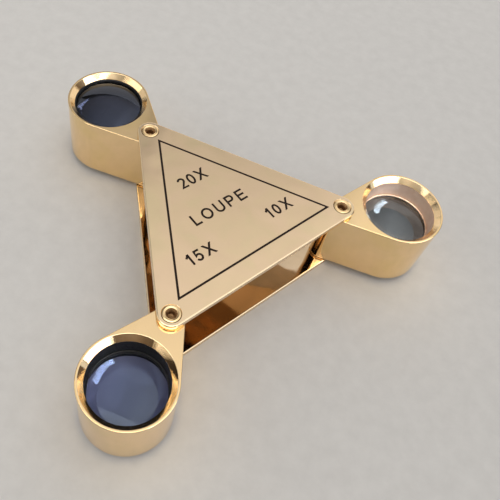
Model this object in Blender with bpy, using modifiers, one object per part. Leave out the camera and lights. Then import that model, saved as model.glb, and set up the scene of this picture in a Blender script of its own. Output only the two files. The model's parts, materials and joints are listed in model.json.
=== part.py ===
"""Folding triple loupe: three round lens housings that swing out from between two triangular plates.

Metres, +Z up. The origin is the centre of the bottom plate's underside, on which the loupe rests.
A semi-tubular rivet at each corner holds the plates together and is the axle of one lens housing.
"""

import math

import bpy
import bmesh
from mathutils import Matrix, Vector

# Driving dimensions
PIVOT_SPACING = 0.0450
PLATE_THICKNESS = 0.0013
PLATE_CORNER_RADIUS = 0.00275
PLATE_GAP = 0.0157
PLATE_EDGE_ROUND = 0.00030
HOUSING_HEIGHT = 0.0152
HOUSING_RADIUS = 0.00925
HOUSING_REACH = 0.0143
HOUSING_HEEL_RADIUS = 0.0027
HOUSING_EDGE_ROUND = 0.00020
BORE_RADIUS = 0.0077
BORE_MOUTH_RADIUS = 0.0088
BORE_MOUTH_DEPTH = 0.0011
RIVET_RADIUS = 0.00125
RIVET_HOLE_RADIUS = 0.00075
RIVET_HEAD_RADIUS = 0.0018
RIVET_CREST_RADIUS = 0.0015
RIVET_PROUD = 0.00012
RIVET_DRILL_DEPTH = 0.0016
RIVET_DRILL_TIP = 0.00045
WASHER_RADIUS = 0.0025
FIT_GAP = 0.00005
SEAT_GAP = 0.00003
BORDER_RADIUS = 0.0226
BORDER_WIDTH = 0.00045
BORDER_DEPTH = 0.00015

# Each lens: the corner that its rivet stands at, the way its housing points, and its triplet's shape.
# ring_depth runs from the housing's face down to the retaining ring, and half_edge from the middle plane
# of the triplet up to the flat land that the ring holds. crown_half_edge is the same for the middle lens.
LENSES = {
    "10x": dict(corner=30.0, swing=30.6, ring_depth=0.0050, ring_inner=0.0073, half_edge=0.00215,
                clear=0.00725, surface=0.0275, cement=0.0240, crown_half_edge=0.0010),
    "15x": dict(corner=270.0, swing=262.8, ring_depth=0.0050, ring_inner=0.00745, half_edge=0.0016,
                clear=0.0074, surface=0.0270, cement=0.0240, crown_half_edge=0.0004),
    "20x": dict(corner=150.0, swing=156.4, ring_depth=0.0012, ring_inner=0.0075, half_edge=0.0059,
                clear=0.00745, surface=0.0200, cement=0.0160, crown_half_edge=0.0037),
}

# Worked out from the driving dimensions
CORNER_DISTANCE = PIVOT_SPACING / math.sqrt(3)
GAP_BOTTOM = PLATE_THICKNESS
GAP_TOP = PLATE_THICKNESS + PLATE_GAP
LOUPE_TOP = PLATE_GAP + 2 * PLATE_THICKNESS
HOUSING_BOTTOM = GAP_BOTTOM + (PLATE_GAP - HOUSING_HEIGHT) / 2
HOUSING_TOP = HOUSING_BOTTOM + HOUSING_HEIGHT
MIDDLE = LOUPE_TOP / 2
AXLE_HOLE_RADIUS = RIVET_RADIUS + FIT_GAP
INSERT_RADIUS = BORE_RADIUS - FIT_GAP
COUNTERSINK_RADIUS = RIVET_HEAD_RADIUS + 2 * FIT_GAP

# Fineness of the round shapes
BORE_SEGMENTS = 40
RIVET_SEGMENTS = 24
CORNER_SEGMENTS = 10
HEEL_SEGMENTS = 8
BARREL_SEGMENTS = 28
DOME_RINGS = 3
CUT_MARGIN = 0.0005

COLLECTION = "jewelers_loupe"


def clear_scene():
    """Remove every object and collection of the start-up scene."""
    for obj in list(bpy.data.objects):
        bpy.data.objects.remove(obj)
    for collection in list(bpy.data.collections):
        bpy.data.collections.remove(collection)


def new_collection(name):
    """A collection linked to the scene."""
    collection = bpy.data.collections.new(name)
    bpy.context.scene.collection.children.link(collection)
    return collection


def material(name, color, metallic, roughness, transmission=0.0):
    """A Principled material of one colour."""
    mat = bpy.data.materials.new(name)
    mat.use_nodes = True
    shader = mat.node_tree.nodes["Principled BSDF"]
    shader.inputs["Base Color"].default_value = (*color, 1.0)
    shader.inputs["Metallic"].default_value = metallic
    shader.inputs["Roughness"].default_value = roughness
    shader.inputs["Transmission Weight"].default_value = transmission
    return mat


def polar(radius, degrees, centre=(0.0, 0.0)):
    """The point at that distance and direction from a centre."""
    angle = math.radians(degrees)
    return (centre[0] + radius * math.cos(angle), centre[1] + radius * math.sin(angle))


def belt_outline(circles, segments):
    """Outline of a belt stretched anticlockwise round circles (x, y, radius), as a list of points."""
    normals = []
    for index, (x, y, radius) in enumerate(circles):
        next_x, next_y, next_radius = circles[(index + 1) % len(circles)]
        heading = math.atan2(next_y - y, next_x - x)
        distance = math.hypot(next_x - x, next_y - y)
        normals.append(heading - math.acos((radius - next_radius) / distance))
    points = []
    for index, (x, y, radius) in enumerate(circles):
        start = normals[index - 1]
        sweep = (normals[index] - start) % (2 * math.pi)
        for step in range(segments[index] + 1):
            angle = start + sweep * step / segments[index]
            points.append((x + radius * math.cos(angle), y + radius * math.sin(angle)))
    return points


def slab(name, outline, bottom, top, collection):
    """A flat piece of that outline between two heights: a filled 2D curve, made a mesh."""
    curve = bpy.data.curves.new(name, "CURVE")
    curve.dimensions = "2D"
    curve.fill_mode = "BOTH"
    curve.extrude = (top - bottom) / 2
    spline = curve.splines.new("POLY")
    spline.points.add(len(outline) - 1)
    for point, (x, y) in zip(spline.points, outline):
        point.co = (x, y, 0.0, 1.0)
    spline.use_cyclic_u = True
    flat = bpy.data.objects.new(name + "_outline", curve)
    flat.location.z = (top + bottom) / 2
    collection.objects.link(flat)
    bpy.context.view_layer.update()
    evaluated = flat.evaluated_get(bpy.context.evaluated_depsgraph_get())
    mesh = bpy.data.meshes.new_from_object(evaluated)
    bm = bmesh.new()
    bm.from_mesh(mesh)
    bmesh.ops.remove_doubles(bm, verts=bm.verts, dist=0.000001)
    bmesh.ops.recalc_face_normals(bm, faces=bm.faces)
    bm.to_mesh(mesh)
    bm.free()
    obj = bpy.data.objects.new(name, mesh)
    obj.matrix_world = flat.matrix_world
    collection.objects.link(obj)
    bpy.data.objects.remove(flat)
    mesh.name = name
    return obj


def turned(name, profile, segments, collection, closed=True):
    """A profile of (radius, height) turned about Z. An open profile starts and ends on the axis."""
    mesh = bpy.data.meshes.new(name)
    edges = [(index, index + 1) for index in range(len(profile) - 1)]
    if closed:
        edges.append((len(profile) - 1, 0))
    mesh.from_pydata([(radius, 0.0, height) for radius, height in profile], edges, [])
    obj = bpy.data.objects.new(name, mesh)
    collection.objects.link(obj)
    screw = obj.modifiers.new("turn", "SCREW")
    screw.axis = "Z"
    screw.angle = math.tau
    screw.steps = segments
    screw.render_steps = segments
    screw.use_merge_vertices = True
    screw.merge_threshold = 0.000001
    screw.use_smooth_shade = True
    return obj


def round_edges(obj, width, segments):
    """Bevel the sharp edges of a piece."""
    bevel = obj.modifiers.new("rounded", "BEVEL")
    bevel.width = width
    bevel.segments = segments
    bevel.limit_method = "ANGLE"
    bevel.angle_limit = math.radians(40)


def cut(obj, cutter):
    """Take the cutter's shape out of a piece."""
    cutter.hide_render = True
    cutter.display_type = "WIRE"
    boolean = obj.modifiers.new("cut_" + cutter.name, "BOOLEAN")
    boolean.operation = "DIFFERENCE"
    boolean.object = cutter


def finish(obj, mat, parent=None):
    """Give a piece its material, smooth shading and parent."""
    obj.data.materials.append(mat)
    if obj.data.polygons:
        obj.data.shade_smooth()
        obj.data.set_sharp_from_angle(angle=math.radians(35))
    obj.parent = parent


def dome(radius, reach, rim_height, rings=DOME_RINGS):
    """Profile of a spherical cap from the axis out to its rim, without the rim point."""
    centre = rim_height - math.sqrt(radius ** 2 - reach ** 2)
    points = []
    for ring in range(rings):
        across = reach * ring / rings
        points.append((across, centre + math.sqrt(radius ** 2 - across ** 2)))
    return points


def mirrored(profile, middle):
    """The same profile upside down about a height, still running from top to bottom."""
    return [(radius, 2 * middle - height) for radius, height in reversed(profile)]


def make_plates(parts, cutters, gold):
    """The two triangular plates, countersunk for the rivets, with the sunk border line on the top one."""
    corners = [(*polar(CORNER_DISTANCE, lens["corner"]), PLATE_CORNER_RADIUS) for lens in LENSES.values()]
    corners.sort(key=lambda corner: math.atan2(corner[1], corner[0]))
    outline = belt_outline(corners, [CORNER_SEGMENTS] * 3)
    top_plate = slab("top_plate", outline, GAP_TOP, LOUPE_TOP, parts)
    bottom_plate = slab("bottom_plate", outline, 0.0, GAP_BOTTOM, parts)
    for plate in (top_plate, bottom_plate):
        round_edges(plate, PLATE_EDGE_ROUND, 2)

    flare = COUNTERSINK_RADIUS - AXLE_HOLE_RADIUS
    top_hole = [
        (0.0, LOUPE_TOP + CUT_MARGIN),
        (COUNTERSINK_RADIUS + CUT_MARGIN, LOUPE_TOP + CUT_MARGIN),
        (AXLE_HOLE_RADIUS, LOUPE_TOP - flare),
        (AXLE_HOLE_RADIUS, GAP_TOP - CUT_MARGIN),
        (0.0, GAP_TOP - CUT_MARGIN),
    ]
    for key, lens in LENSES.items():
        corner = polar(CORNER_DISTANCE, lens["corner"])
        for plate, profile in ((top_plate, top_hole), (bottom_plate, mirrored(top_hole, MIDDLE))):
            hole = turned(f"{plate.name}_hole_{key}", profile, RIVET_SEGMENTS, cutters, closed=False)
            hole.location = (*corner, 0.0)
            cut(plate, hole)

    cut(top_plate, make_border_cutter(cutters))
    finish(top_plate, gold)
    finish(bottom_plate, gold)


def make_border_cutter(cutters):
    """A three-sided ring that sinks the border line into the top plate."""
    corner_step = BORDER_WIDTH / math.cos(math.radians(60))
    radii = (BORDER_RADIUS - corner_step / 2, BORDER_RADIUS + corner_step / 2)
    heights = (LOUPE_TOP - BORDER_DEPTH, LOUPE_TOP + CUT_MARGIN)
    ring = bmesh.new()
    loops = []
    for radius in radii:
        for height in heights:
            points = [polar(radius, lens["corner"]) for lens in LENSES.values()]
            loops.append([ring.verts.new((*point, height)) for point in points])
    inner_low, inner_high, outer_low, outer_high = loops
    for first, second in ((inner_low, outer_low), (outer_low, outer_high),
                          (outer_high, inner_high), (inner_high, inner_low)):
        for index in range(3):
            after = (index + 1) % 3
            ring.faces.new((first[index], first[after], second[after], second[index]))
    bmesh.ops.recalc_face_normals(ring, faces=ring.faces)
    mesh = bpy.data.meshes.new("border_cutter")
    ring.to_mesh(mesh)
    ring.free()
    cutter = bpy.data.objects.new("border_cutter", mesh)
    cutters.objects.link(cutter)
    return cutter


def rivet_profile():
    """Profile of a semi-tubular rivet: a solid shank, drilled at both ends, its head rolled over above
    the top plate and its foot flared flush with the bottom plate's underside."""
    shoulder = RIVET_HEAD_RADIUS - RIVET_RADIUS
    inner_lip = (RIVET_CREST_RADIUS + RIVET_HOLE_RADIUS) / 2
    rolled = [
        (0.0, -RIVET_DRILL_DEPTH - RIVET_DRILL_TIP),
        (RIVET_HOLE_RADIUS, -RIVET_DRILL_DEPTH),
        (RIVET_HOLE_RADIUS, -shoulder),
        (inner_lip, RIVET_PROUD / 3),
        (RIVET_CREST_RADIUS, RIVET_PROUD),
        (RIVET_HEAD_RADIUS - FIT_GAP, RIVET_PROUD / 2),
        (RIVET_HEAD_RADIUS, -SEAT_GAP),
        (RIVET_RADIUS, -SEAT_GAP - shoulder),
    ]
    flared = [
        (RIVET_RADIUS, SEAT_GAP + shoulder),
        (RIVET_HEAD_RADIUS, SEAT_GAP + FIT_GAP),
        (RIVET_CREST_RADIUS, SEAT_GAP),
        (inner_lip, SEAT_GAP + FIT_GAP),
        (RIVET_HOLE_RADIUS, shoulder),
        (RIVET_HOLE_RADIUS, RIVET_DRILL_DEPTH),
        (0.0, RIVET_DRILL_DEPTH + RIVET_DRILL_TIP),
    ]
    return [(radius, LOUPE_TOP + height) for radius, height in rolled] + flared


def make_rivets_and_washers(parts, gold, brass):
    """One rivet at each corner, with a thin washer above and below the housing that turns on it."""
    slack = (PLATE_GAP - HOUSING_HEIGHT) / 2
    for key, lens in LENSES.items():
        corner = (*polar(CORNER_DISTANCE, lens["corner"]), 0.0)
        rivet = turned(f"pivot_rivet_{key}", rivet_profile(), RIVET_SEGMENTS, parts, closed=False)
        rivet.location = corner
        finish(rivet, gold)
        for side, low in (("lower", GAP_BOTTOM), ("upper", HOUSING_TOP)):
            bottom = low + SEAT_GAP
            top = low + slack - SEAT_GAP
            ring = [(WASHER_RADIUS, top), (WASHER_RADIUS, bottom),
                    (AXLE_HOLE_RADIUS, bottom), (AXLE_HOLE_RADIUS, top)]
            washer = turned(f"{side}_washer_{key}", ring, RIVET_SEGMENTS, parts)
            washer.location = corner
            finish(washer, brass)


def make_housing(key, pivot, parts, cutters, gold):
    """The lens housing: a drop-shaped block bored for the lens and for the rivet it swings on."""
    circles = [(HOUSING_REACH, 0.0, HOUSING_RADIUS), (0.0, 0.0, HOUSING_HEEL_RADIUS)]
    outline = belt_outline(circles, [BARREL_SEGMENTS, HEEL_SEGMENTS])
    housing = slab(f"housing_{key}", outline, HOUSING_BOTTOM, HOUSING_TOP, parts)
    round_edges(housing, HOUSING_EDGE_ROUND, 2)
    funnel = BORE_MOUTH_RADIUS + (BORE_MOUTH_RADIUS - BORE_RADIUS) * CUT_MARGIN / BORE_MOUTH_DEPTH
    half_bore = [
        (0.0, HOUSING_TOP + CUT_MARGIN),
        (funnel, HOUSING_TOP + CUT_MARGIN),
        (BORE_RADIUS, HOUSING_TOP - BORE_MOUTH_DEPTH),
    ]
    lens_bore = turned(f"lens_bore_{key}", half_bore + mirrored(half_bore, MIDDLE), BORE_SEGMENTS,
                       cutters, closed=False)
    axle_profile = [
        (0.0, HOUSING_TOP + CUT_MARGIN),
        (AXLE_HOLE_RADIUS, HOUSING_TOP + CUT_MARGIN),
        (AXLE_HOLE_RADIUS, HOUSING_BOTTOM - CUT_MARGIN),
        (0.0, HOUSING_BOTTOM - CUT_MARGIN),
    ]
    axle_hole = turned(f"axle_hole_{key}", axle_profile, RIVET_SEGMENTS, cutters, closed=False)
    lens_bore.parent = pivot
    lens_bore.location = (HOUSING_REACH, 0.0, 0.0)
    axle_hole.parent = pivot
    cut(housing, lens_bore)
    cut(housing, axle_hole)
    finish(housing, gold, pivot)


def make_retaining_rings(key, lens, pivot, parts, metal):
    """The two rings that hold the triplet in its bore, one from each face."""
    top = HOUSING_TOP - lens["ring_depth"]
    bottom = MIDDLE + lens["half_edge"] + SEAT_GAP
    upper = [
        (lens["ring_inner"], top),
        (INSERT_RADIUS, top),
        (INSERT_RADIUS, bottom),
        (lens["ring_inner"], bottom),
    ]
    for side, profile in (("upper", upper), ("lower", mirrored(upper, MIDDLE))):
        ring = turned(f"{side}_ring_{key}", profile, BORE_SEGMENTS, parts)
        ring.location = (HOUSING_REACH, 0.0, 0.0)
        finish(ring, metal, pivot)


def make_triplet(key, lens, pivot, parts, crown_glass, flint_glass):
    """The cemented triplet: a double convex middle lens between two thin outer ones."""
    joint_rim = MIDDLE + lens["crown_half_edge"]
    joint = dome(lens["cement"], INSERT_RADIUS, joint_rim)
    crown = joint + [(INSERT_RADIUS, joint_rim)]
    crown += mirrored(crown, MIDDLE)
    land = MIDDLE + lens["half_edge"]
    face = dome(lens["surface"], lens["clear"], land)
    hollow = [(radius, height + SEAT_GAP) for radius, height in reversed(joint)]
    upper = face + [(lens["clear"], land), (INSERT_RADIUS, land), (INSERT_RADIUS, joint_rim + SEAT_GAP)]
    upper += hollow
    pieces = (
        (f"middle_lens_{key}", crown, crown_glass),
        (f"upper_lens_{key}", upper, flint_glass),
        (f"lower_lens_{key}", mirrored(upper, MIDDLE), flint_glass),
    )
    for name, profile, glass in pieces:
        element = turned(name, profile, BORE_SEGMENTS, parts, closed=False)
        element.location = (HOUSING_REACH, 0.0, 0.0)
        finish(element, glass, pivot)


def make_pivot(key, lens, parts):
    """An empty on the rivet's axis, turned the way the housing points."""
    pivot = bpy.data.objects.new(f"pivot_{key}", None)
    parts.objects.link(pivot)
    pivot.location = (*polar(CORNER_DISTANCE, lens["corner"]), 0.0)
    pivot.rotation_euler.z = math.radians(lens["swing"])
    return pivot


def build():
    """Build the whole loupe with its housings swung out."""
    clear_scene()
    parts = new_collection(COLLECTION)
    cutters = new_collection("cutters")
    gold = material("polished_gold", (0.83, 0.62, 0.36), 1.0, 0.16)
    brass = material("washer_brass", (0.72, 0.53, 0.28), 1.0, 0.35)
    black = material("blackened_metal", (0.02, 0.02, 0.022), 0.6, 0.45)
    crown_glass = material("crown_glass", (0.82, 0.88, 0.95), 0.0, 0.03, 1.0)
    flint_glass = material("coated_flint_glass", (0.62, 0.70, 0.95), 0.0, 0.03, 1.0)
    make_plates(parts, cutters, gold)
    make_rivets_and_washers(parts, gold, brass)
    ring_metals = {"10x": gold, "15x": black, "20x": black}
    for key, lens in LENSES.items():
        pivot = make_pivot(key, lens, parts)
        make_housing(key, pivot, parts, cutters, gold)
        make_retaining_rings(key, lens, pivot, parts, ring_metals[key])
        make_triplet(key, lens, pivot, parts, crown_glass, flint_glass)
    bpy.context.view_layer.update()


build()
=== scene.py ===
"""Looks of the folding triple loupe: polished gold plates and housings, coated lenses, filled engraving."""

import json
import math

import bpy
import bmesh
from mathutils import Matrix, Vector

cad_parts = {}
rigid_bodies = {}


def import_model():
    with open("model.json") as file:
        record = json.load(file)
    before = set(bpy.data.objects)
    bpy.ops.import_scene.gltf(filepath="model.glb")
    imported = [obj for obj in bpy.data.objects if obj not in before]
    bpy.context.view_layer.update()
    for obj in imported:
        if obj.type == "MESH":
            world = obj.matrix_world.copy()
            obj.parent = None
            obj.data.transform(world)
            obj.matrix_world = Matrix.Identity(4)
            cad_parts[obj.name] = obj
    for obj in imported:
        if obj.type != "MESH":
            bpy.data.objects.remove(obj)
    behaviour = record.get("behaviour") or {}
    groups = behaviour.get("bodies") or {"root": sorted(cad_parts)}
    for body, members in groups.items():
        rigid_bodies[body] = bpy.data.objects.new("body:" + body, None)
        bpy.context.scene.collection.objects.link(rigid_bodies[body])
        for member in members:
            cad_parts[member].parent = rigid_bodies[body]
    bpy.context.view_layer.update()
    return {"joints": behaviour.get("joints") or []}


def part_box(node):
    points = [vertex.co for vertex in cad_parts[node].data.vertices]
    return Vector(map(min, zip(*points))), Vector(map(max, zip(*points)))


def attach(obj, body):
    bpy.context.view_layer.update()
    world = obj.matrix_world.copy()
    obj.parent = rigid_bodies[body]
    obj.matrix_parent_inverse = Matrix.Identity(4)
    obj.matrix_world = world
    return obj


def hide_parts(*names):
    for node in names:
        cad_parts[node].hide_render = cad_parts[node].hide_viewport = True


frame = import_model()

POWERS = ("10x", "15x", "20x")

# Shapes that the frame's boxes don't give, in metres
PLATE_CORNER_RADIUS = 0.00275
PLATE_EDGE_ROUND = 0.00034
HOUSING_RADIUS = 0.00925
HOUSING_HEEL_RADIUS = 0.0027
HOUSING_TOP_ROUND = 0.00016
HOUSING_FOOT_ROUND = 0.00045
BORE_RADIUS = 0.0077
BORE_MOUTH_RADIUS = 0.0088
BORE_MOUTH_DEPTH = 0.0011
AXLE_HOLE_RADIUS = 0.0013
RIVET_RADIUS = 0.00125
RIVET_HOLE_RADIUS = 0.00078
RIVET_HEAD_RADIUS = 0.00184
RIVET_CREST_RADIUS = 0.00152
RIVET_DRILL_DEPTH = 0.0016
RIVET_DRILL_TIP = 0.00045
RIVET_FUNNEL_RADIUS = 0.00104
COUNTERSINK_RADIUS = 0.00188
COUNTERSINK_LIP = 0.0001
BORDER_RADIUS = 0.0226
BORDER_WIDTH = 0.00046
ENGRAVING_DEPTH = 0.00016
ENAMEL_SINK = 0.00005
ENAMEL_SLACK = 0.000004
LENS_RADIUS = 0.00765
LENS_EDGE_ROUND = 0.00006
BORE_BRINK = 0.00006
RING_BEVEL = 0.00012
CUT_MARGIN = 0.0005
WELD_DISTANCE = 1e-7

# Fillets: half a corner's angle (radians) past which it counts as straight, and the share of a side
# that one fillet may take up
NEARLY_STRAIGHT = 1.55
FILLET_SHARE = 0.48

# How far a face's normal points up or down: more is flat, less is upright
FLAT_NORMAL = 0.98
UPRIGHT_NORMAL = 0.1

# Each triplet: the radius of its outer faces, how far out they are clear, and its rings' inner radius
TRIPLETS = {
    "10x": dict(surface=0.0275, clear=0.00725, ring_inner=0.0073),
    "15x": dict(surface=0.0270, clear=0.0074, ring_inner=0.00745),
    "20x": dict(surface=0.0200, clear=0.00745, ring_inner=0.0075),
}

# The words on the plate: text, centre along the reading line, baseline, capital height, width
READING_DIRECTION = 60.0
ENGRAVED = {
    "figures_20x": ("20X", -0.00015, 0.00887, 0.00285, 0.0069),
    "word_loupe": ("LOUPE", 0.0, -0.00010, 0.00280, 0.0137),
    "figures_10x": ("10X", 0.01052, -0.00704, 0.00270, 0.0064),
    "figures_15x": ("15X", -0.01010, -0.00708, 0.00272, 0.0065),
}
STROKE_WIDTH = 0.00047
ARC_STEPS = 14
# The least cosine of half a bend that its mitre follows, and the least rise (sine) of a level-cut stroke
MITRE_LIMIT = 0.55
LEVEL_CUT_RISE = 0.3

# The room's brightness by height above the horizon (sine of the elevation), and its tint
ROOM_STRENGTH = 1.2
ROOM = (
    (0.00, 0.13, (1.0, 0.78, 0.61)),
    (0.45, 0.15, (1.0, 0.78, 0.61)),
    (0.62, 0.36, (1.0, 0.99, 0.97)),
    (0.71, 0.56, (1.0, 0.98, 0.95)),
    (0.80, 0.70, (1.0, 0.98, 0.95)),
    (0.87, 0.82, (1.0, 0.98, 0.95)),
    (0.93, 0.96, (1.0, 0.98, 0.95)),
    (1.00, 1.10, (1.0, 0.99, 0.97)),
)
# How much brighter the room is by how far to the right one looks (X of the direction). The narrow dip
# is what the top plate mirrors as a faint streak
ROOM_SIDES = ((-0.40, 0.80), (-0.31, 0.90), (-0.28, 0.95), (-0.26, 0.62), (-0.24, 0.98),
              (-0.10, 1.0), (0.05, 1.2), (0.15, 1.6), (0.40, 1.5))

# The window's panes: middle and extent of its columns by azimuth and of its rows by elevation, in degrees
LIGHT_DISTANCE = 0.5
WINDOW_COLUMNS = ((-34.0, 7.0), (-7.5, 42.0))
WINDOW_ROWS = ((20.0, 19.0), (39.5, 17.0))

# Groups of pieces, told by how their names start, and how bright the window and the box overhead are to
# each: faint lens coatings need a far brighter window than polished gold
LIGHT_GROUPS = {
    "flat_gold": (("gold_plate", "rivet_", "washer_"), 1.1, 1.5),
    "round_gold": (("gold_housing", "ring_"), 4.0, 3.0),
    "glass": (("triplet_",), 44.0, 1.3),
}

# Soft boxes that shine on every piece: azimuth, elevation, width and height in degrees, radiance, colour
SOFT_BOXES = {
    "window_side": (19.5, 17.0, 8.0, 26.0, 0.8, (0.85, 0.93, 1.0)),
    "warm_box": (-141.0, 32.0, 56.0, 21.0, 1.6, (1.0, 0.95, 0.84)),
    "back_box": (95.0, 20.0, 100.0, 30.0, 0.8, (1.0, 0.97, 0.92)),
    "left_box": (168.0, 22.0, 40.0, 26.0, 0.7, (1.0, 0.97, 0.92)),
}
WINDOW_COLOR = (0.97, 0.99, 1.0)
TOP_BOX = (-90.0, 69.0, 60.0, 24.0)
TOP_BOX_COLOR = (1.0, 0.98, 0.92)
FRONT_BOX = (-90.0, 27.0, 76.0, 30.0, 0.7, (1.0, 0.98, 0.94))

# The camera, in metres and degrees, and the floor's half width
CAMERA_EYE = (0.01405, -0.07651, 0.12123)
CAMERA_AIM = (-0.00015, -0.00937)
CAMERA_ROLL = 12.4
CAMERA_LENS = 45.1
CAMERA_SHIFT = (0.09, -0.01)
FLOOR_REACH = 1.5

# Fineness
ROUND_SEGMENTS = 128
RIVET_SEGMENTS = 72
CORNER_SEGMENTS = 24
FILLET_STEPS = 5
DOME_RINGS = 22


# ---------------------------------------------------------------- geometry helpers

def link(obj):
    """Put an object in the scene."""
    bpy.context.scene.collection.objects.link(obj)
    return obj


def mesh_piece(name, verts, faces):
    """An object from vertices and faces, its faces turned outwards."""
    mesh = bpy.data.meshes.new(name)
    mesh.from_pydata(verts, [], faces)
    bm = bmesh.new()
    bm.from_mesh(mesh)
    bmesh.ops.recalc_face_normals(bm, faces=bm.faces)
    bm.to_mesh(mesh)
    bm.free()
    return link(bpy.data.objects.new(name, mesh))


def shade(obj, angle=32.0, has_flats=True):
    """Smooth shading that keeps real edges sharp, and flat faces flat on a piece that has them."""
    obj.data.shade_smooth()
    obj.data.set_sharp_from_angle(angle=math.radians(angle))
    if not has_flats:
        return
    weighted = obj.modifiers.new("weighted_normals", "WEIGHTED_NORMAL")
    weighted.keep_sharp = True
    weighted.weight = 80


def belt_outline(circles, segments):
    """Outline of a belt stretched anticlockwise round circles of (x, y, radius)."""
    normals = []
    for index, (x, y, radius) in enumerate(circles):
        next_x, next_y, next_radius = circles[(index + 1) % len(circles)]
        heading = math.atan2(next_y - y, next_x - x)
        distance = math.hypot(next_x - x, next_y - y)
        normals.append(heading - math.acos((radius - next_radius) / distance))
    points = []
    for index, (x, y, radius) in enumerate(circles):
        start = normals[index - 1]
        sweep = (normals[index] - start) % math.tau
        for step in range(segments[index] + 1):
            angle = start + sweep * step / segments[index]
            points.append((x + radius * math.cos(angle), y + radius * math.sin(angle)))
    return points


def rounded_slab(name, circles, segments, bottom, top, foot_round, top_round):
    """A flat piece with a belt outline, its lower and upper edges rounded."""
    levels = []
    for step in range(FILLET_STEPS + 1 if foot_round else 1):
        angle = 0.5 * math.pi * step / FILLET_STEPS
        levels.append((foot_round * (1 - math.sin(angle)), bottom + foot_round * (1 - math.cos(angle))))
    for step in range(FILLET_STEPS + 1 if top_round else 1):
        angle = 0.5 * math.pi * step / FILLET_STEPS
        levels.append((top_round * (1 - math.cos(angle)), top - top_round * (1 - math.sin(angle))))
    verts = []
    for inset, height in levels:
        loop = belt_outline([(x, y, radius - inset) for x, y, radius in circles], segments)
        verts += [(x, y, height) for x, y in loop]
    count = len(verts) // len(levels)
    faces = [tuple(reversed(range(count))), tuple(range(len(verts) - count, len(verts)))]
    for level in range(len(levels) - 1):
        for index in range(count):
            after = (index + 1) % count
            low, high = level * count, (level + 1) * count
            faces.append((low + index, low + after, high + after, high + index))
    return mesh_piece(name, verts, faces)


def filleted(profile):
    """A profile of (radius, height, fillet) with each corner rounded by its fillet, as (radius, height)."""
    points = []
    for index, (x, z, fillet) in enumerate(profile):
        if fillet <= 0.0:
            points.append((x, z))
            continue
        corner = Vector((x, z))
        before = Vector(profile[index - 1][:2]) - corner
        after = Vector(profile[(index + 1) % len(profile)][:2]) - corner
        half = 0.5 * before.angle(after)
        if half > NEARLY_STRAIGHT:
            points.append((x, z))
            continue
        longest = FILLET_SHARE * min(before.length, after.length)
        reach = min(fillet / math.tan(half), longest)
        start = before.normalized() * reach
        end = after.normalized() * reach
        centre = (start + end) / (2 * math.cos(half) ** 2)
        arm_a, arm_b = start - centre, end - centre
        sweep = arm_a.angle(arm_b)
        for step in range(FILLET_STEPS + 1):
            share = step / FILLET_STEPS
            blend = arm_a * math.sin((1 - share) * sweep) + arm_b * math.sin(share * sweep)
            points.append(tuple(corner + centre + blend / math.sin(sweep)))
    return points


def turned(name, profile, segments, closed=True):
    """A profile of (radius, height) turned about Z. A point on the axis becomes a pole."""
    verts, rows = [], []
    for radius, height in profile:
        if radius < WELD_DISTANCE:
            rows.append([len(verts)] * segments)
            verts.append((0.0, 0.0, height))
            continue
        rows.append(list(range(len(verts), len(verts) + segments)))
        for step in range(segments):
            angle = math.tau * step / segments
            verts.append((radius * math.cos(angle), radius * math.sin(angle), height))
    faces = []
    following = rows[1:] + rows[:1] if closed else rows[1:]
    for row, below in zip(rows, following):
        for step in range(segments):
            after = (step + 1) % segments
            face = list(dict.fromkeys((row[step], row[after], below[after], below[step])))
            if len(face) > 2:
                faces.append(face)
    return mesh_piece(name, verts, faces)


def mirrored(profile, middle):
    """The same profile upside down about a height, in the opposite order."""
    return [(point[0], 2 * middle - point[1], *point[2:]) for point in reversed(profile)]


def cut(obj, cutters, operation="DIFFERENCE"):
    """Combine a piece with its cutters and keep the result as its mesh."""
    for cutter in cutters:
        boolean = obj.modifiers.new(cutter.name, "BOOLEAN")
        boolean.operation = operation
        boolean.solver = "EXACT"
        boolean.use_self = True
        boolean.object = cutter
    bpy.context.view_layer.update()
    evaluated = obj.evaluated_get(bpy.context.evaluated_depsgraph_get())
    mesh = bpy.data.meshes.new_from_object(evaluated)
    obj.modifiers.clear()
    obj.data = mesh
    for cutter in cutters:
        bpy.data.objects.remove(cutter)
    bm = bmesh.new()
    bm.from_mesh(mesh)
    bmesh.ops.remove_doubles(bm, verts=bm.verts, dist=WELD_DISTANCE)
    bm.to_mesh(mesh)
    bm.free()


def place(obj, body, materials, replaced=()):
    """Finish a piece: materials, body, and the CAD nodes that it stands for."""
    for material in materials:
        obj.data.materials.append(material)
    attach(obj, body)
    if replaced:
        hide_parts(*replaced)


# ---------------------------------------------------------------- places read from the frame

def middle_of(node):
    """Centre of a CAD node's box."""
    low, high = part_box(node)
    return (low + high) / 2


PIVOTS = {}
LENS_CENTRES = {}
for joint in frame["joints"]:
    power = joint["name"].split("_")[1]
    PIVOTS[power] = Vector(joint["pos_m"])
    LENS_CENTRES[power] = middle_of(f"middle_lens_{power}")

PLATE_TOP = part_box("top_plate")[1].z
PLATE_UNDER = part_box("top_plate")[0].z
BASE_PLATE_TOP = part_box("bottom_plate")[1].z
PLATE_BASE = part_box("bottom_plate")[0].z
MIDDLE = (PLATE_TOP + PLATE_BASE) / 2
HOUSING_BASE, HOUSING_TOP = (corner.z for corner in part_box("housing_10x"))
RIVET_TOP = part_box("pivot_rivet_10x")[1].z


# ---------------------------------------------------------------- materials

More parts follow.
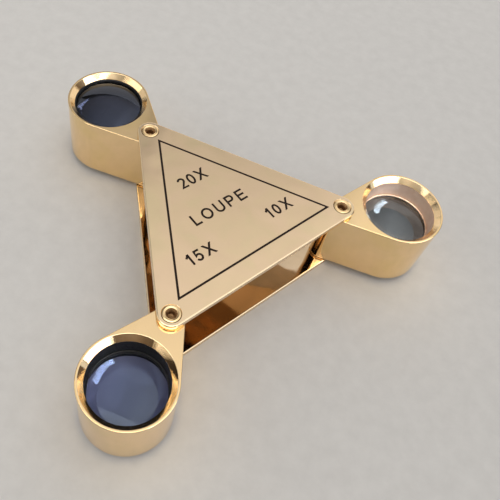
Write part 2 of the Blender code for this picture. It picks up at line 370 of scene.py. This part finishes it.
class Nodes:
    """Short names for building one material's node tree."""

    def __init__(self, name):
        self.material = bpy.data.materials.new(name)
        self.material.use_nodes = True
        self.tree = self.material.node_tree
        self.shader = self.tree.nodes["Principled BSDF"]
        self.position = self.add("ShaderNodeTexCoord").outputs["Object"]

    def add(self, kind, **settings):
        node = self.tree.nodes.new(kind)
        for key, value in settings.items():
            setattr(node, key, value)
        return node

    def wire(self, source, target):
        self.tree.links.new(source, target)

    def mapping(self, scale, rotation):
        node = self.add("ShaderNodeMapping")
        node.inputs["Scale"].default_value = scale
        node.inputs["Rotation"].default_value = rotation
        self.wire(self.position, node.inputs["Vector"])
        return node.outputs["Vector"]

    def noise(self, scale, detail=2.0, roughness=0.5, vector=None, distortion=0.0):
        node = self.add("ShaderNodeTexNoise")
        node.inputs["Scale"].default_value = scale
        node.inputs["Detail"].default_value = detail
        node.inputs["Roughness"].default_value = roughness
        node.inputs["Distortion"].default_value = distortion
        self.wire(vector or self.position, node.inputs["Vector"])
        return node.outputs["Fac"]

    def ramp(self, source, stops):
        node = self.add("ShaderNodeValToRGB")
        elements = node.color_ramp.elements
        while len(elements) < len(stops):
            elements.new(0.5)
        for element, (place_at, color) in zip(elements, stops):
            element.position = place_at
            element.color = (*color, 1.0)
        self.wire(source, node.inputs["Fac"])
        return node.outputs["Color"]

    def math(self, operation, first, second=0.0):
        node = self.add("ShaderNodeMath", operation=operation)
        for socket, value in zip(node.inputs, (first, second)):
            if isinstance(value, (int, float)):
                socket.default_value = value
            else:
                self.wire(value, socket)
        return node.outputs["Value"]

    def remap(self, source, from_low, from_high, to_low, to_high):
        node = self.add("ShaderNodeMapRange", clamp=True)
        for name, value in (("From Min", from_low), ("From Max", from_high),
                            ("To Min", to_low), ("To Max", to_high)):
            node.inputs[name].default_value = value
        self.wire(source, node.inputs["Value"])
        return node.outputs["Result"]

    def blend(self, factor, first, second):
        node = self.add("ShaderNodeMix", data_type="RGBA")
        self.wire(factor, node.inputs[0])
        for socket, value in ((node.inputs[6], first), (node.inputs[7], second)):
            if isinstance(value, tuple):
                socket.default_value = (*value, 1.0)
            else:
                self.wire(value, socket)
        return node.outputs[2]

    def bump(self, height, strength, distance, normal=None):
        node = self.add("ShaderNodeBump")
        node.inputs["Strength"].default_value = strength
        node.inputs["Distance"].default_value = distance
        self.wire(height, node.inputs["Height"])
        if normal is not None:
            self.wire(normal, node.inputs["Normal"])
        return node.outputs["Normal"]

    def set(self, **values):
        for key, value in values.items():
            socket = self.shader.inputs[key.replace("_", " ")]
            if isinstance(value, (int, float)):
                socket.default_value = value
            elif isinstance(value, tuple):
                socket.default_value = (*value, 1.0)
            else:
                self.wire(value, socket)


def scratches(nodes, scale, rotation, low, high):
    """Fine straight hairlines: a stretched noise kept only where it peaks, from low to high."""
    stretched = nodes.mapping(scale, (0.0, 0.0, rotation))
    return nodes.remap(nodes.noise(1.0, 3.0, 0.6, stretched), low, high, 0.0, 1.0)


def polished_gold(name, tones, roughness, wave_height):
    """Mirror-polished gold plating with faint waves, hairlines, smudges and a tone that drifts."""
    nodes = Nodes(name)
    drift = nodes.noise(130.0, 2.5, 0.55, distortion=0.6)
    color = nodes.ramp(drift, ((0.32, tones[0]), (0.52, tones[1]), (0.72, tones[2])))
    smudge = nodes.noise(420.0, 4.0, 0.62)
    color = nodes.blend(nodes.remap(smudge, 0.45, 0.75, 0.0, 0.22), color, tones[3])
    hairlines = nodes.math(
        "MAXIMUM",
        scratches(nodes, (9000.0, 160.0, 160.0), 0.5, 0.66, 0.80),
        scratches(nodes, (150.0, 8000.0, 150.0), -0.3, 0.68, 0.82),
    )
    grain = nodes.noise(5200.0, 2.0, 0.5)
    gloss = nodes.remap(smudge, 0.3, 0.75, roughness * 0.75, roughness * 1.5)
    gloss = nodes.math("ADD", gloss, nodes.math("MULTIPLY", hairlines, 0.12))
    waves = nodes.noise(105.0, 1.5, 0.4, distortion=0.3)
    normal = nodes.bump(waves, 1.0, wave_height)
    normal = nodes.bump(hairlines, 0.10, 0.000004, normal)
    normal = nodes.bump(grain, 0.05, 0.000003, normal)
    nodes.set(Base_Color=color, Roughness=gloss, Metallic=1.0, Normal=normal)
    return nodes.material


def turned_metal(name, low_color, high_color, roughness, metallic=1.0, depth=0.000006):
    """Metal with the fine rings that a lathe leaves, round the piece's own Z axis."""
    groove = 0.00006
    nodes = Nodes(name)
    split = nodes.add("ShaderNodeSeparateXYZ")
    nodes.wire(nodes.position, split.inputs["Vector"])
    squares = [nodes.math("POWER", split.outputs[axis], 2.0) for axis in ("X", "Y")]
    radius = nodes.math("SQRT", nodes.math("ADD", *squares))
    travel = nodes.math("ADD", radius, split.outputs["Z"])
    grooves = nodes.math("SINE", nodes.math("MULTIPLY", travel, math.tau / groove))
    mottled = nodes.noise(600.0, 3.0, 0.6)
    uneven = nodes.noise(2600.0, 2.0, 0.5)
    color = nodes.blend(nodes.remap(mottled, 0.35, 0.7, 0.0, 1.0), low_color, high_color)
    gloss = nodes.remap(uneven, 0.3, 0.7, roughness * 0.8, roughness * 1.25)
    normal = nodes.bump(grooves, 0.5, depth)
    normal = nodes.bump(uneven, 0.15, depth, normal)
    nodes.set(Base_Color=color, Roughness=gloss, Metallic=metallic, Normal=normal)
    return nodes.material


def coated_glass(name, tint, coating, index):
    """Polished lens glass, its body colour darkening what is seen through it as painted shade, its coating
    tinting what it mirrors, with dust specks and a faint wiping haze.
    """
    nodes = Nodes(name)
    haze = nodes.noise(900.0, 3.0, 0.6)
    specks = nodes.remap(nodes.noise(3800.0, 1.0, 0.5), 0.76, 0.80, 0.0, 1.0)
    wiped = nodes.remap(haze, 0.35, 0.75, 0.0, 0.03)
    gloss = nodes.math("ADD", wiped, nodes.math("MULTIPLY", specks, 0.25))
    color = nodes.blend(nodes.math("MULTIPLY", specks, 0.5), tint, DUST_COLOR)
    nodes.set(Base_Color=color, Roughness=gloss, Metallic=0.0, Transmission_Weight=1.0, IOR=index,
              Specular_Tint=coating)
    return nodes.material


def enamel(name):
    """Dark brown-black filling of the engraving, dull and slightly uneven."""
    nodes = Nodes(name)
    mottled = nodes.noise(1500.0, 4.0, 0.6)
    color = nodes.ramp(mottled, ((0.3, (0.008, 0.004, 0.003)), (0.7, (0.030, 0.016, 0.009))))
    gloss = nodes.remap(mottled, 0.3, 0.7, 0.55, 0.75)
    normal = nodes.bump(mottled, 0.4, 0.00002)
    nodes.set(Base_Color=color, Roughness=gloss, Metallic=0.0, Specular_IOR_Level=0.2, Normal=normal)
    return nodes.material


def floor_material():
    """Plain pale floor with a barely visible grain."""
    nodes = Nodes("pale_floor")
    grain = nodes.noise(300.0, 4.0, 0.6)
    color = nodes.ramp(grain, ((0.3, (0.68, 0.675, 0.67)), (0.7, (0.73, 0.725, 0.72))))
    nodes.set(Base_Color=color, Roughness=0.6, Specular_IOR_Level=0.1)
    return nodes.material


# Gold tones: three that drift into each other, and the tone of the smudges
CHAMPAGNE = ((0.92, 0.69, 0.47), (0.90, 0.69, 0.45), (0.86, 0.69, 0.43), (0.86, 0.64, 0.44))
YELLOW_GOLD = ((0.96, 0.70, 0.40), (0.94, 0.69, 0.38), (0.90, 0.67, 0.34), (0.90, 0.63, 0.36))
BRIGHT_GOLD = ((0.97, 0.78, 0.54), (0.96, 0.77, 0.52), (0.94, 0.76, 0.50), (0.92, 0.72, 0.48))
# Darker tones for the faces that look into the gap between the plates: painted shade between the plates
SHADED_INNER_TONES = ((0.72, 0.55, 0.38), (0.70, 0.53, 0.35), (0.64, 0.49, 0.32), (0.62, 0.46, 0.31))
DUST_COLOR = (0.75, 0.74, 0.72)

PLATE_GOLD = polished_gold("plate_gold", CHAMPAGNE, 0.10, 0.00011)
EDGE_GOLD = polished_gold("edge_gold", BRIGHT_GOLD, 0.09, 0.00001)
SHADED_INNER_GOLD = polished_gold("shaded_inner_gold", SHADED_INNER_TONES, 0.06, 0.00022)
HOUSING_GOLD = polished_gold("housing_gold", YELLOW_GOLD, 0.07, 0.00002)
BEVEL_GOLD = turned_metal("bevel_gold", (0.88, 0.64, 0.36), (0.93, 0.71, 0.44), 0.06, depth=0.000001)
RIVET_GOLD = polished_gold("rivet_gold", YELLOW_GOLD, 0.12, 0.00001)
# Dark brown for the rivets' drilled funnels: partly oxide and dirt in the holes, partly painted shade
RIVET_OXIDE_AND_SHADE = turned_metal("rivet_funnel_oxide_and_shade", (0.26, 0.15, 0.07), (0.42, 0.26, 0.13), 0.50)
BORE_ROSE = turned_metal("bore_rose_gold", (0.88, 0.68, 0.56), (0.95, 0.77, 0.66), 0.46, 0.55)
RING_GOLD = turned_metal("ring_gold", (0.88, 0.66, 0.50), (0.94, 0.74, 0.58), 0.24)
BLACK_METAL = turned_metal("blackened_metal", (0.012, 0.012, 0.014), (0.030, 0.028, 0.028), 0.42, 0.4)
EDGE_BLACK = turned_metal("lens_edge_black", (0.006, 0.006, 0.007), (0.014, 0.013, 0.013), 0.6, 0.0)
WASHER_BRASS = turned_metal("washer_brass", (0.60, 0.42, 0.20), (0.72, 0.54, 0.30), 0.38)
# Each lens's first colour is its glass body, darkened (most for 20X) and blued for 15X: painted shade and
# painted reflection for dark surroundings seen through the lens. The second colour tints what its coating
# mirrors
LENS_GLASS = {
    "10x": coated_glass("lens_glass_10x", (0.25, 0.28, 0.31), (0.88, 0.95, 1.0), 1.90),
    "15x": coated_glass("lens_glass_15x", (0.40, 0.44, 0.64), (0.72, 0.88, 1.0), 1.56),
    "20x": coated_glass("lens_glass_20x", (0.07, 0.073, 0.10), (0.60, 0.70, 1.0), 1.62),
}
ENAMEL = enamel("engraving_enamel")


# ---------------------------------------------------------------- plates and engraving

def countersink_cutter(name, pivot, face, side):
    """What a rivet hole takes out of a plate: side is +1 for an upper face and -1 for an under face."""
    depth = COUNTERSINK_RADIUS - AXLE_HOLE_RADIUS
    far = PLATE_TOP - PLATE_UNDER + CUT_MARGIN
    profile = [
        (0.0, face + side * CUT_MARGIN, 0.0),
        (COUNTERSINK_RADIUS + COUNTERSINK_LIP, face + side * CUT_MARGIN, 0.0),
        (COUNTERSINK_RADIUS + COUNTERSINK_LIP, face, 0.0),
        (COUNTERSINK_RADIUS, face - side * COUNTERSINK_LIP, 0.0),
        (AXLE_HOLE_RADIUS, face - side * depth, 0.0),
        (AXLE_HOLE_RADIUS, face - side * far, 0.0),
        (0.0, face - side * far, 0.0),
    ]
    cutter = turned(name, filleted(profile), RIVET_SEGMENTS, closed=False)
    cutter.location = (pivot.x, pivot.y, 0.0)
    return cutter


def border_ring(name, half_width, bottom, top):
    """The three-sided border line as a solid: its corners are mitred."""
    verts = []
    for radius in (BORDER_RADIUS - 2 * half_width, BORDER_RADIUS + 2 * half_width):
        for height in (bottom, top):
            for power in POWERS:
                heading = Vector((PIVOTS[power].x, PIVOTS[power].y)).normalized() * radius
                verts.append((heading.x, heading.y, height))
    faces = []
    for first, second in ((0, 6), (6, 9), (9, 3), (3, 0)):
        for index in range(3):
            after = (index + 1) % 3
            faces.append((first + index, first + after, second + after, second + index))
    return mesh_piece(name, verts, faces)


def arc(x, y, half_width, half_height, start, end):
    """Points along part of an ellipse, angles in degrees."""
    steps = max(2, round(ARC_STEPS * abs(end - start) / 180))
    angles = [math.radians(start + (end - start) * step / steps) for step in range(steps + 1)]
    return [(x + half_width * math.cos(angle), y + half_height * math.sin(angle)) for angle in angles]


def glyph(character, pen):
    """Width of a character and its strokes as centre lines, for capitals one unit high.
    Each stroke is its points and whether it is closed; pen is half the stroke's width."""
    low, high = pen, 1 - pen
    oval = arc(0.0, 0.5, 1.0, 0.5 - pen, 90, 450)[:-1]
    if character == "0":
        return 0.62, [([(0.31 + x * (0.31 - pen), y) for x, y in oval], True)]
    if character == "1":
        return 0.42, [([(0.28, 0.0), (0.28, 1.0)], False),
                      ([(0.02, 0.70), (0.16, 0.79), (0.28, 0.97)], False)]
    if character == "2":
        bowl = arc(0.30, 0.70, 0.22, high - 0.70, 165, -38)
        return 0.62, [(bowl + [(0.11, low), (0.61, low)], False)]
    if character == "5":
        bowl = arc(0.29, 0.34, 0.235, 0.34 - low, 142, -160)
        return 0.62, [([(0.57, high), (0.16, high)] + bowl, False)]
    if character == "X":
        return 0.86, [([(pen, 0.0), (0.86 - pen, 1.0)], False), ([(0.86 - pen, 0.0), (pen, 1.0)], False)]
    if character == "L":
        return 0.60, [([(pen, 1.0), (pen, low), (0.60, low)], False)]
    if character == "O":
        return 0.92, [([(0.46 + x * (0.46 - pen), y) for x, y in oval], True)]
    if character == "U":
        bend = arc(0.39, 0.37, 0.39 - pen, 0.37 - low, 180, 360)
        return 0.78, [([(pen, 1.0)] + bend + [(0.78 - pen, 1.0)], False)]
    if character == "P":
        bowl = arc(0.42, 0.69, 0.30 - pen, high - 0.69, 90, -90)
        return 0.72, [([(pen, 0.0), (pen, 1.0)], False),
                      ([(pen, high)] + bowl + [(pen, bowl[-1][1])], False)]
    if character == "E":
        return 0.72, [([(0.70, high), (pen, high), (pen, low), (0.72, low)], False),
                      ([(pen, 0.53), (0.66, 0.53)], False)]
    raise ValueError(f"no strokes for {character}")


def add_stroke(bm, points, closed, half_width, bottom, top):
    """A centre line thickened to a flat-sided bar with mitred bends. Its ends are cut across it,
    but a single straight stroke that rises ends level, like the base line."""
    count = len(points)
    sections = []
    for index, point in enumerate(points):
        ahead = points[(index + 1) % count] if closed or index < count - 1 else None
        behind = points[index - 1] if closed or index > 0 else None
        headings = [(end - start).normalized() for start, end in ((behind, point), (point, ahead))
                    if start is not None and end is not None]
        along = sum(headings, Vector((0.0, 0.0))).normalized()
        across = Vector((-along.y, along.x))
        reach = half_width / max(MITRE_LIMIT, abs(along.dot(headings[0])))
        if count == 2 and abs(along.y) > LEVEL_CUT_RISE:
            across, reach = Vector((-1.0, 0.0)), half_width / abs(along.y)
        sections.append([bm.verts.new((*(point + across * side * reach), height))
                         for side, height in ((1, bottom), (-1, bottom), (-1, top), (1, top))])
    following = sections[1:] + sections[:1] if closed else sections[1:]
    for first, second in zip(sections, following):
        for corner in range(4):
            after = (corner + 1) % 4
            bm.faces.new((first[corner], first[after], second[after], second[corner]))
    if not closed:
        bm.faces.new(sections[0])
        bm.faces.new(list(reversed(sections[-1])))


def lettering(name, bottom, top, slack):
    """An engraved word or figure as upright bars, standing in the plate's face where it is read."""
    text, along, baseline, capital, width = ENGRAVED[name]
    pen = STROKE_WIDTH / 2 / capital
    glyphs = [glyph(character, pen) for character in text]
    spacing = (width / capital - sum(wide for wide, _ in glyphs)) / (len(text) - 1)
    bm = bmesh.new()
    start = along / capital - width / capital / 2
    for wide, strokes in glyphs:
        for points, closed in strokes:
            centre_line = [Vector((start + x, y)) * capital + Vector((0.0, baseline)) for x, y in points]
            add_stroke(bm, centre_line, closed, STROKE_WIDTH / 2 - slack, bottom, top)
        start += wide + spacing
    turn = Matrix.Rotation(math.radians(READING_DIRECTION), 3, "Z")
    bmesh.ops.rotate(bm, verts=bm.verts, matrix=turn)
    bmesh.ops.recalc_face_normals(bm, faces=bm.faces)
    mesh = bpy.data.meshes.new(name)
    bm.to_mesh(mesh)
    bm.free()
    return link(bpy.data.objects.new(name, mesh))


def make_plates():
    """Both plates with rounded edges and countersunk holes, the top one engraved and filled."""
    corners = [PIVOTS[power] for power in ("15x", "10x", "20x")]
    circles = [(corner.x, corner.y, PLATE_CORNER_RADIUS) for corner in corners]
    segments = [CORNER_SEGMENTS] * 3
    top = rounded_slab("gold_plate_top", circles, segments, PLATE_UNDER, PLATE_TOP,
                       PLATE_EDGE_ROUND, PLATE_EDGE_ROUND)
    base = rounded_slab("gold_plate_base", circles, segments, PLATE_BASE, BASE_PLATE_TOP,
                        PLATE_EDGE_ROUND, PLATE_EDGE_ROUND)
    top_cutters = [countersink_cutter(f"sink_top_{power}", PIVOTS[power], PLATE_TOP, 1)
                   for power in POWERS]
    base_cutters = [countersink_cutter(f"sink_base_{power}", PIVOTS[power], PLATE_BASE, -1)
                    for power in POWERS]
    sunk = PLATE_TOP - ENGRAVING_DEPTH
    top_cutters.append(border_ring("border_cutter", BORDER_WIDTH / 2, sunk, PLATE_TOP + CUT_MARGIN))
    for name in ENGRAVED:
        cutter = lettering(name, sunk, PLATE_TOP + CUT_MARGIN, 0.0)
        cutter.name = name + "_cutter"
        top_cutters.append(cutter)
    cut(top, top_cutters)
    cut(base, base_cutters)
    for plate, inward, node in ((top, -1, "top_plate"), (base, 1, "bottom_plate")):
        for face in plate.data.polygons:
            # Faces that look into the gap between the plates take the darker gold, painted shade; the
            # rounded edges take the brighter gold
            if face.normal.z * inward > FLAT_NORMAL:
                face.material_index = 1
            elif UPRIGHT_NORMAL < abs(face.normal.z) < FLAT_NORMAL:
                face.material_index = 2
        shade(plate)
        place(plate, "frame", [PLATE_GOLD, SHADED_INNER_GOLD, EDGE_GOLD], [node])
    border = border_ring("border_enamel", BORDER_WIDTH / 2 - ENAMEL_SLACK, sunk + ENAMEL_SLACK,
                         PLATE_TOP - ENAMEL_SINK)
    place(border, "frame", [ENAMEL])
    for name in ENGRAVED:
        filling = lettering(name, sunk - CUT_MARGIN, PLATE_TOP + CUT_MARGIN, ENAMEL_SLACK)
        layer = rounded_slab(name + "_layer", circles, segments, sunk + ENAMEL_SLACK,
                             PLATE_TOP - ENAMEL_SINK, 0.0, 0.0)
        cut(filling, [layer], "INTERSECT")
        place(filling, "frame", [ENAMEL])


# ---------------------------------------------------------------- rivets and washers

def make_rivet(power):
    """The semi-tubular rivet: a rolled head above, a flared foot below, drilled at both ends."""
    proud = RIVET_TOP - PLATE_TOP
    slope = RIVET_HEAD_RADIUS - RIVET_RADIUS
    lip = 0.5 * (RIVET_CREST_RADIUS + RIVET_HOLE_RADIUS)
    rolled = [
        (0.0, PLATE_TOP - RIVET_DRILL_DEPTH - RIVET_DRILL_TIP, 0.0),
        (RIVET_HOLE_RADIUS, PLATE_TOP - RIVET_DRILL_DEPTH, 0.00010),
        (RIVET_HOLE_RADIUS, PLATE_TOP - slope, 0.00025),
        (lip, PLATE_TOP + 0.1 * proud, 0.00012),
        (RIVET_CREST_RADIUS, PLATE_TOP + proud, 0.00022),
        (RIVET_HEAD_RADIUS, PLATE_TOP + 0.2 * proud, 0.00006),
        (RIVET_HEAD_RADIUS - 0.00002, PLATE_TOP - 0.00004, 0.00002),
        (RIVET_RADIUS, PLATE_TOP - slope - 0.00003, 0.0002),
    ]
    flared = [
        (RIVET_RADIUS, PLATE_BASE + slope + 0.00003, 0.0002),
        (RIVET_HEAD_RADIUS - 0.00002, PLATE_BASE + 0.00008, 0.00003),
        (RIVET_CREST_RADIUS, PLATE_BASE + 0.00002, 0.0002),
        (lip, PLATE_BASE + 0.00008, 0.0001),
        (RIVET_HOLE_RADIUS, PLATE_BASE + slope, 0.00025),
        (RIVET_HOLE_RADIUS, PLATE_BASE + RIVET_DRILL_DEPTH, 0.00010),
        (0.0, PLATE_BASE + RIVET_DRILL_DEPTH + RIVET_DRILL_TIP, 0.0),
    ]
    rivet = turned(f"rivet_{power}", filleted(rolled + flared), RIVET_SEGMENTS, closed=False)
    rivet.location = (PIVOTS[power].x, PIVOTS[power].y, 0.0)
    # Faces inside the funnel radius take the dark brown: partly oxide and dirt, partly painted shade in the
    # drilled holes
    for face in rivet.data.polygons:
        face.material_index = int(math.hypot(face.center.x, face.center.y) < RIVET_FUNNEL_RADIUS)
    shade(rivet, 40.0)
    place(rivet, "frame", [RIVET_GOLD, RIVET_OXIDE_AND_SHADE], [f"pivot_rivet_{power}"])


def make_washers(power):
    """The thin washers above and below a housing's heel, their edges broken."""
    for side in ("upper", "lower"):
        node = f"{side}_washer_{power}"
        low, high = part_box(node)
        radius = (high.x - low.x) / 2
        edge = 0.25 * (high.z - low.z)
        profile = [(radius, high.z, edge), (radius, low.z, edge),
                   (AXLE_HOLE_RADIUS, low.z, edge), (AXLE_HOLE_RADIUS, high.z, edge)]
        washer = turned(f"washer_{side}_{power}", filleted(profile), RIVET_SEGMENTS)
        washer.location = (PIVOTS[power].x, PIVOTS[power].y, 0.0)
        shade(washer)
        place(washer, "frame", [WASHER_BRASS], [node])


# ---------------------------------------------------------------- lens housings

def bore_cutter(name):
    """What the lens bore takes out of a housing, with its bevelled mouths and broken edges."""
    brink = BORE_BRINK
    half = [
        (0.0, HOUSING_TOP + CUT_MARGIN, 0.0),
        (BORE_MOUTH_RADIUS + brink, HOUSING_TOP + CUT_MARGIN, 0.0),
        (BORE_MOUTH_RADIUS + brink, HOUSING_TOP, 0.0),
        (BORE_MOUTH_RADIUS - brink, HOUSING_TOP - 1.2 * brink, 0.0),
        (BORE_RADIUS + 0.5 * brink, HOUSING_TOP - BORE_MOUTH_DEPTH, 0.00006),
        (BORE_RADIUS, HOUSING_TOP - BORE_MOUTH_DEPTH - brink, 0.00004),
    ]
    return turned(name, filleted(half + mirrored(half, MIDDLE)), ROUND_SEGMENTS, closed=False)


def make_housing(power):
    """A drop-shaped housing with rounded edges, bored for the lens and for its rivet.
    Its origin is on the lens's axis."""
    lens = LENS_CENTRES[power]
    heel_x, heel_y = PIVOTS[power].x - lens.x, PIVOTS[power].y - lens.y
    circles = [(0.0, 0.0, HOUSING_RADIUS), (heel_x, heel_y, HOUSING_HEEL_RADIUS)]
    housing = rounded_slab(f"gold_housing_{power}", circles, [ROUND_SEGMENTS, CORNER_SEGMENTS],
                           HOUSING_BASE, HOUSING_TOP, HOUSING_FOOT_ROUND, HOUSING_TOP_ROUND)
    axle = [(0.0, HOUSING_TOP + CUT_MARGIN), (AXLE_HOLE_RADIUS, HOUSING_TOP + CUT_MARGIN),
            (AXLE_HOLE_RADIUS, HOUSING_BASE - CUT_MARGIN), (0.0, HOUSING_BASE - CUT_MARGIN)]
    axle_cutter = turned(f"axle_cutter_{power}", axle, RIVET_SEGMENTS, closed=False)
    axle_cutter.location = (heel_x, heel_y, 0.0)
    cut(housing, [bore_cutter(f"bore_cutter_{power}"), axle_cutter])
    bevel_depth = BORE_MOUTH_DEPTH + 0.0001
    for face in housing.data.polygons:
        radius = math.hypot(face.center.x, face.center.y)
        depth = min(HOUSING_TOP - face.center.z, face.center.z - HOUSING_BASE)
        if radius < BORE_MOUTH_RADIUS and depth > bevel_depth:
            face.material_index = 2
        elif radius < BORE_MOUTH_RADIUS and depth > 1e-5:
            face.material_index = 1
    housing.location = (lens.x, lens.y, 0.0)
    shade(housing)
    bore = BORE_ROSE if power == "10x" else BLACK_METAL
    place(housing, f"arm_{power}", [HOUSING_GOLD, BEVEL_GOLD, bore],
          [f"housing_{power}"])


def make_rings(power):
    """The retaining rings of a lens, with broken edges and a bevelled inner edge."""
    lens = LENS_CENTRES[power]
    inner = TRIPLETS[power]["ring_inner"]
    metal, slot = (RING_GOLD, "gold_ring") if power == "10x" else (BLACK_METAL, "black_ring")
    for side, up in (("upper", 1), ("lower", -1)):
        node = f"{side}_ring_{power}"
        low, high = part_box(node)
        radius = (high.x - low.x) / 2
        face, seat = (high.z, low.z) if up > 0 else (low.z, high.z)
        profile = [
            (inner + RING_BEVEL, face, 0.00003),
            (radius, face, 0.00005),
            (radius, seat, 0.00003),
            (inner, seat, 0.00003),
            (inner, face - up * RING_BEVEL, 0.00003),
        ]
        ring = turned(f"ring_{side}_{power}", filleted(profile), ROUND_SEGMENTS)
        ring.location = (lens.x, lens.y, 0.0)
        shade(ring)
        place(ring, f"arm_{power}", [metal], [node])


def make_triplet(power):
    """The cemented triplet as one body of glass, with its ground edge painted black."""
    lens = LENS_CENTRES[power]
    surface, clear = TRIPLETS[power]["surface"], TRIPLETS[power]["clear"]
    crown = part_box(f"upper_lens_{power}")[1].z
    dome = []
    for ring in range(DOME_RINGS + 1):
        across = clear * math.sin(0.5 * math.pi * ring / DOME_RINGS)
        dome.append((across, crown - surface + math.sqrt(surface ** 2 - across ** 2), 0.0))
    half = dome + [(LENS_RADIUS, dome[-1][1], LENS_EDGE_ROUND)]
    profile = filleted(half + mirrored(half, MIDDLE))
    glass = turned(f"triplet_{power}", profile, ROUND_SEGMENTS, closed=False)
    glass.location = (lens.x, lens.y, 0.0)
    for face in glass.data.polygons:
        face.material_index = int(math.hypot(face.center.x, face.center.y) > clear)
    shade(glass, 30.0, has_flats=False)
    nodes = [f"{part}_lens_{power}" for part in ("upper", "middle", "lower")]
    place(glass, f"arm_{power}", [LENS_GLASS[power], EDGE_BLACK], nodes)


# ---------------------------------------------------------------- floor, light and camera

def make_floor():
    """A plain pale floor, far wider than the view."""
    signs = ((-1, -1), (1, -1), (1, 1), (-1, 1))
    corners = [(x * FLOOR_REACH, y * FLOOR_REACH, PLATE_BASE) for x, y in signs]
    floor = mesh_piece("floor", corners, [(0, 1, 2, 3)])
    floor.data.materials.append(floor_material())


def light_group(name, prefixes):
    """A collection of the pieces whose names start so, for a light that reaches only them."""
    group = bpy.data.collections.new(name)
    for piece in bpy.context.scene.objects:
        if piece.name.startswith(prefixes):
            group.objects.link(piece)
    return group


def soft_light(name, azimuth, elevation, wide, high, radiance, color, group=None):
    """A rectangular soft box that faces the loupe, as wide and high as its angles (degrees) say
    and as bright to look at as its radiance says. With a group, only that group's gloss shows it."""
    data = bpy.data.lights.new(name, "AREA")
    data.shape = "RECTANGLE"
    data.size = 2 * LIGHT_DISTANCE * math.tan(math.radians(wide / 2))
    data.size_y = 2 * LIGHT_DISTANCE * math.tan(math.radians(high / 2))
    data.energy = radiance * math.pi * data.size * data.size_y
    data.color = color
    turn, rise = math.radians(azimuth), math.radians(elevation)
    level = math.cos(rise)
    direction = Vector((math.cos(turn) * level, math.sin(turn) * level, math.sin(rise)))
    lamp = link(bpy.data.objects.new(name, data))
    lamp.location = direction * LIGHT_DISTANCE
    lamp.rotation_euler = (-direction).to_track_quat("-Z", "Y").to_euler()
    if group:
        lamp.visible_diffuse = False
        lamp.light_linking.receiver_collection = group


def make_room():
    """A room that brightens towards its ceiling and to the right. Ramp and curve hold values up to one,
    so the ramp's are divided by ROOM_STRENGTH and the curve's halved, and the strength makes up for it."""
    world = bpy.data.worlds.new("studio")
    world.use_nodes = True
    tree = world.node_tree
    background = tree.nodes["Background"]
    direction = tree.nodes.new("ShaderNodeTexCoord")
    split = tree.nodes.new("ShaderNodeSeparateXYZ")
    ramp = tree.nodes.new("ShaderNodeValToRGB")
    elements = ramp.color_ramp.elements
    while len(elements) < len(ROOM):
        elements.new(0.5)
    for element, (height, brightness, tint) in zip(elements, ROOM):
        element.position = height
        element.color = (*(brightness / ROOM_STRENGTH * channel for channel in tint), 1.0)
    sides = tree.nodes.new("ShaderNodeFloatCurve")
    curve = sides.mapping.curves[0]
    while len(curve.points) < len(ROOM_SIDES):
        curve.points.new(0.5, 0.5)
    for point, (sideways, factor) in zip(curve.points, ROOM_SIDES):
        point.location = ((sideways + 1) / 2, factor / 2)
    sides.mapping.update()
    shift = tree.nodes.new("ShaderNodeMath")
    shift.operation = "MULTIPLY_ADD"
    shift.inputs[1].default_value = 0.5
    shift.inputs[2].default_value = 0.5
    strength = tree.nodes.new("ShaderNodeMath")
    strength.operation = "MULTIPLY"
    strength.inputs[1].default_value = 2 * ROOM_STRENGTH
    tree.links.new(direction.outputs["Generated"], split.inputs["Vector"])
    tree.links.new(split.outputs["Z"], ramp.inputs["Fac"])
    tree.links.new(split.outputs["X"], shift.inputs[0])
    tree.links.new(shift.outputs["Value"], sides.inputs["Value"])
    tree.links.new(sides.outputs["Value"], strength.inputs[0])
    tree.links.new(ramp.outputs["Color"], background.inputs["Color"])
    tree.links.new(strength.outputs["Value"], background.inputs["Strength"])
    bpy.context.scene.world = world


def make_lights():
    """A window of four panes and a box overhead for each group of pieces, and soft boxes all round."""
    for key, (prefixes, window_radiance, top_radiance) in LIGHT_GROUPS.items():
        group = light_group(key, prefixes)
        for column, (azimuth, width) in enumerate(WINDOW_COLUMNS):
            for row, (elevation, height) in enumerate(WINDOW_ROWS):
                soft_light(f"window_{key}_{column}_{row}", azimuth, elevation, width, height,
                           window_radiance, WINDOW_COLOR, group)
        soft_light(f"top_box_{key}", *TOP_BOX, top_radiance, TOP_BOX_COLOR, group)
        if key == "flat_gold":
            soft_light("front_box", *FRONT_BOX, group)
    for name, settings in SOFT_BOXES.items():
        soft_light(name, *settings)


def make_camera():
    """Looks down on the loupe from the front, a little from its right, tilted about its own axis."""
    data = bpy.data.cameras.new("camera")
    data.lens = CAMERA_LENS
    data.sensor_width = 36.0
    data.shift_x, data.shift_y = CAMERA_SHIFT
    data.clip_start = 0.005
    camera = link(bpy.data.objects.new("camera", data))
    eye = Vector(CAMERA_EYE)
    target = Vector((*CAMERA_AIM, PLATE_TOP))
    aim = (target - eye).to_track_quat("-Z", "Y").to_matrix().to_4x4()
    roll = Matrix.Rotation(math.radians(CAMERA_ROLL), 4, "Z")
    camera.matrix_world = Matrix.Translation(eye) @ aim @ roll
    bpy.context.scene.camera = camera


make_plates()
for power in POWERS:
    make_rivet(power)
    make_washers(power)
    make_housing(power)
    make_rings(power)
    make_triplet(power)
make_floor()
make_room()
make_lights()
make_camera()
bpy.context.scene.view_settings.view_transform = "Standard"
